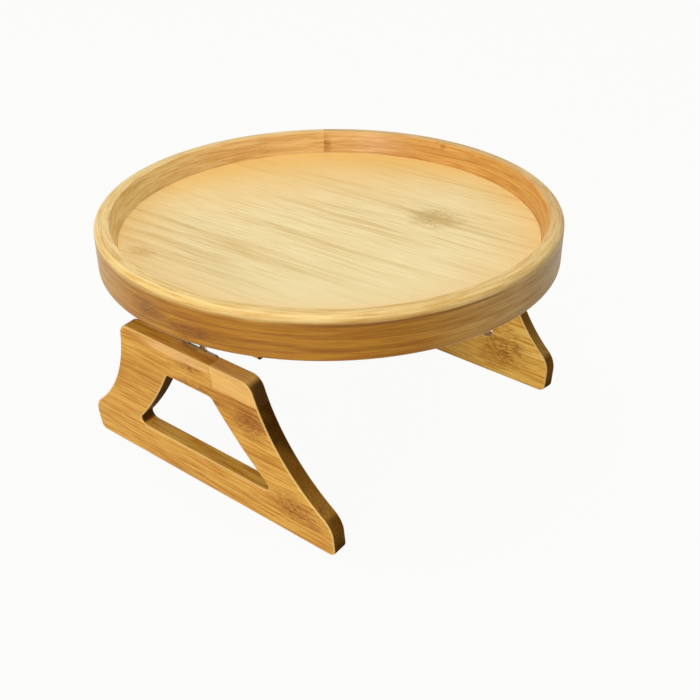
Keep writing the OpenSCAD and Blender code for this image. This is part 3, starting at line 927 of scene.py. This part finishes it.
# %% Board maker
def wall(mesh, rings):
    for near, far in zip(rings, rings[1:]):
        for i in range(len(near)):
            mesh.faces.new((near[i - 1], near[i], far[i], far[i - 1]))


def solid(name, outlines, depths, frame_of):
    mesh = bmesh.new()
    stacks = []
    for outline, sign in outlines:
        stacks.append([[mesh.verts.new(frame_of @ Vector((depth, y, z)))
                        for y, z in outline(sign * inset)] for inset, depth in depths])
        wall(mesh, stacks[-1])
    for end in (0, -1):
        rings = [stack[end] for stack in stacks]
        rims = [mesh.edges.get((ring[i - 1], ring[i])) for ring in rings for i in range(len(ring))]
        bmesh.ops.triangle_fill(mesh, use_beauty=True, edges=rims)
    bmesh.ops.recalc_face_normals(mesh, faces=mesh.faces)
    data = bpy.data.meshes.new(name)
    mesh.to_mesh(data)
    mesh.free()
    data.shade_smooth()
    thing = bpy.data.objects.new(name, data)
    bpy.context.scene.collection.objects.link(thing)
    return thing


print("rings of wall round each outline:", len(DEPTHS) - 1)

# %% [markdown]
# The hinge leaf lies in a shallow pocket. It could be part of the outline only if it went right
# through, so a plate with rounded lower corners is cut out of the inner face with a Boolean.

# %% Leaf pocket
POCKET_HALF, POCKET_LOW, POCKET_R = 19.15, 74.58, 3.15
POCKET_DEPTH = 1.3
# The cutter reaches past the board's top and stands out of its inner face.
CUTTER_TOP, CUTTER_OUT = 96.0, 1.0


def pocket_outline(inset):
    centre = (POCKET_HALF - POCKET_R, POCKET_LOW + POCKET_R)
    half = bend(centre, POCKET_R - inset, -90, 0, FOOT_STEPS)
    return both_halves(half + [(POCKET_HALF - inset, CUTTER_TOP)])


def carve(piece, cutter):
    cut = piece.modifiers.new("pocket", "BOOLEAN")
    cut.object = cutter
    cut.solver = "EXACT"
    even = piece.modifiers.new("even_light", "WEIGHTED_NORMAL")
    even.keep_sharp = True
    bpy.context.view_layer.update()
    shown = piece.evaluated_get(bpy.context.evaluated_depsgraph_get())
    done = bpy.data.meshes.new_from_object(shown)
    piece.modifiers.clear()
    piece.data = done
    bpy.data.objects.remove(cutter)


print("leaf pocket:", 2 * POCKET_HALF, "mm wide and", POCKET_DEPTH, "mm deep")

# %% [markdown]
# Each board goes where the measured leg is: the hinge axis is turned round for the left side, and
# the board leans outwards from it. The measured leg could be dressed itself, but its mesh has a few
# folded triangles at the foot. So a board with the same outline and pocket takes its place.

# %% Leg boards
def hinge_frame(side):
    turn = Matrix.Rotation(math.pi if side == "left" else 0.0, 4, "Z")
    reach = HINGE_REACH * (-1 if side == "left" else 1)
    return Matrix.Scale(MM, 4) @ Matrix.Translation((reach, 0, HINGE_HEIGHT)) @ turn


def leg_frame(side):
    return hinge_frame(side) @ Matrix.Rotation(LEG_LEAN, 4, "Y")


for side in SIDES:
    place = leg_frame(side) @ Matrix.Translation((BOARD_INNER, 0, -BOARD_LOW))
    board = solid("leg_board_" + side, ((board_outline, 1), (window_outline, -1)), DEPTHS, place)
    cutter_depths = ((0, -CUTTER_OUT), (0, POCKET_DEPTH))
    carve(board, solid("pocket_cutter", ((pocket_outline, 1),), cutter_depths, place))
    board.data.materials.clear()
    board.data.materials.append(board_finishes[side])
    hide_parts("leg_" + side)
    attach(board, side + "_leg")
    low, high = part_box("leg_" + side)
    print("leg board faces:", len(board.data.polygons), "measured box:", low, high)

# %% [markdown]
# On a real hinge a torsion spring is a wire wound round the pin, and its two ends bear on the
# leaves and turn the leg inwards. Here each end lies free in a slot in its leaf, as in the
# measured piece, whose wire has six flats. A screw modifier could wind a round one, but it leaves
# the straight ends to be joined on. So it is one curve: the points go round a helix, and a round
# bevel gives the curve the wire's thickness.

# %% Hinge springs
WIRE_R = 0.5
COIL_R = 2.45
COIL_HALF = 4.9
COIL_TURNS = 6.25
STEPS_A_TURN = 32
WIRE_ROUNDNESS = 3
RAIL_END = 9.0
LEG_END = 4.65


def spring_route():
    steps = int(COIL_TURNS * STEPS_A_TURN)
    route = [(-RAIL_END, COIL_HALF, COIL_R)]
    for i in range(steps + 1):
        turn = math.radians(90 - 360 * i / STEPS_A_TURN)
        route.append((COIL_R * math.cos(turn), COIL_HALF * (1 - 2 * i / steps), COIL_R * math.sin(turn)))
    return route + [(COIL_R, -COIL_HALF, -LEG_END)]


def wire(name, route, radius):
    curve = bpy.data.curves.new(name, "CURVE")
    curve.dimensions = "3D"
    curve.bevel_depth = radius
    curve.bevel_resolution = WIRE_ROUNDNESS
    curve.use_fill_caps = True
    line = curve.splines.new("POLY")
    line.points.add(len(route) - 1)
    for point, at in zip(line.points, route):
        point.co = (*at, 1.0)
    thing = bpy.data.objects.new(name, curve)
    bpy.context.scene.collection.objects.link(thing)
    return thing


for side in SIDES:
    route = [hinge_frame(side) @ Vector(at) for at in spring_route()]
    spring = wire("spring_wire_" + side, route, WIRE_R * MM)
    spring.data.materials.append(spring_finish)
    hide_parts("hinge_spring_" + side)
    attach(spring, "tray")
print("spring points:", len(spring_route()))

# %% [markdown]
# The floor, hoop, rails, leaves, pins and screws keep their measured shape, and only their surface
# is dressed. Each could be copied and the copy dressed, but the measured mesh is true to size and
# closed already, so it takes the finish itself.

# %% Give every measured piece its finish
for name, finish in finishes.items():
    piece = nodes[name]
    piece.data.materials.clear()
    piece.data.materials.append(finish)
print("finished pieces:", len(finishes), "of", len(nodes))

# %% [markdown]
# The photograph is cut out on white. A white floor lit to white would throw light back up, but in
# the photograph the undersides stay dark. So the floor is a mid grey, and it only looks white: to
# the camera, and in reflections and through clear things, it shines by itself. A little of the
# grey is left in, which keeps a faint shadow. The surroundings look white in the same way, but they
# light the tray only weakly.

# %% Floor and surroundings
FLOOR_HALF = 3.0
FLOOR_GREY, FLOOR_ROUGHNESS = (0.45, 0.45, 0.44, 1), 0.9
FLOOR_WHITE, SKY_WHITE = (1, 1, 0.985, 1), (1, 1, 0.99, 1)
SEEN_WHITE = 0.95
AMBIENT = 0.4


def seen_white(tree, unseen):
    ray = tree.nodes.new("ShaderNodeLightPath").outputs
    mirrored = calc(tree, "MAXIMUM", ray["Is Glossy Ray"], ray["Is Transmission Ray"])
    seen = calc(tree, "MAXIMUM", ray["Is Camera Ray"], mirrored)
    return ramp(tree, seen, 0.0, 1.0, unseen, 1.0)


def white_floor():
    h = FLOOR_HALF
    mesh = bpy.data.meshes.new("studio_floor")
    mesh.from_pydata([(-h, -h, 0), (h, -h, 0), (h, h, 0), (-h, h, 0)], [], [(0, 1, 2, 3)])
    floor = bpy.data.objects.new("studio_floor", mesh)
    bpy.context.scene.collection.objects.link(floor)
    material, tree, shader = new_material("studio_floor_finish")
    shader.inputs["Base Color"].default_value = FLOOR_GREY
    shader.inputs["Roughness"].default_value = FLOOR_ROUGHNESS
    glow = tree.nodes.new("ShaderNodeEmission")
    glow.inputs["Color"].default_value = FLOOR_WHITE
    mix = tree.nodes.new("ShaderNodeMixShader")
    put(tree, mix.inputs["Fac"], calc(tree, "MULTIPLY", seen_white(tree, 0.0), SEEN_WHITE))
    tree.links.new(shader.outputs[0], mix.inputs[1])
    tree.links.new(glow.outputs[0], mix.inputs[2])
    tree.links.new(mix.outputs[0], tree.nodes["Material Output"].inputs["Surface"])
    mesh.materials.append(material)


def surroundings():
    world = bpy.data.worlds.new("studio")
    bpy.context.scene.world = world
    world.use_nodes = True
    background = world.node_tree.nodes["Background"]
    background.inputs["Color"].default_value = SKY_WHITE
    put(world.node_tree, background.inputs["Strength"], seen_white(world.node_tree, AMBIENT))


white_floor()
surroundings()
print("ambient light:", AMBIENT)

# %% [markdown]
# In the photograph the top faces are brightest, the faces turned to the left are next, and those
# turned to the right are dark brown. One lamp could not do both. So a large soft lamp hangs
# overhead, and a weak high one and a stronger low one stand on the left. The faces turned to the
# right get only the weak surroundings and what grazes them from above.

# %% Lamps
def lamp(name, place, aim, size, watts):
    data = bpy.data.lights.new(name, "AREA")
    data.shape = "DISK"
    data.size = size
    data.energy = watts
    thing = bpy.data.objects.new(name, data)
    turn = (Vector(aim) - Vector(place)).to_track_quat("-Z", "Y").to_matrix().to_4x4()
    thing.matrix_world = Matrix.Translation(Vector(place)) @ turn
    bpy.context.scene.collection.objects.link(thing)


lamp("left_lamp", place=(-1.4, 0.1, 0.95), aim=(0, 0, 0.08), size=0.9, watts=3)
lamp("low_left_lamp", place=(-1.5, -0.38, 0.3), aim=(0, 0, 0.06), size=0.5, watts=11.5)
lamp("overhead_lamp", place=(-0.1, 0.25, 1.7), aim=(0, 0, 0.1), size=1.1, watts=13)
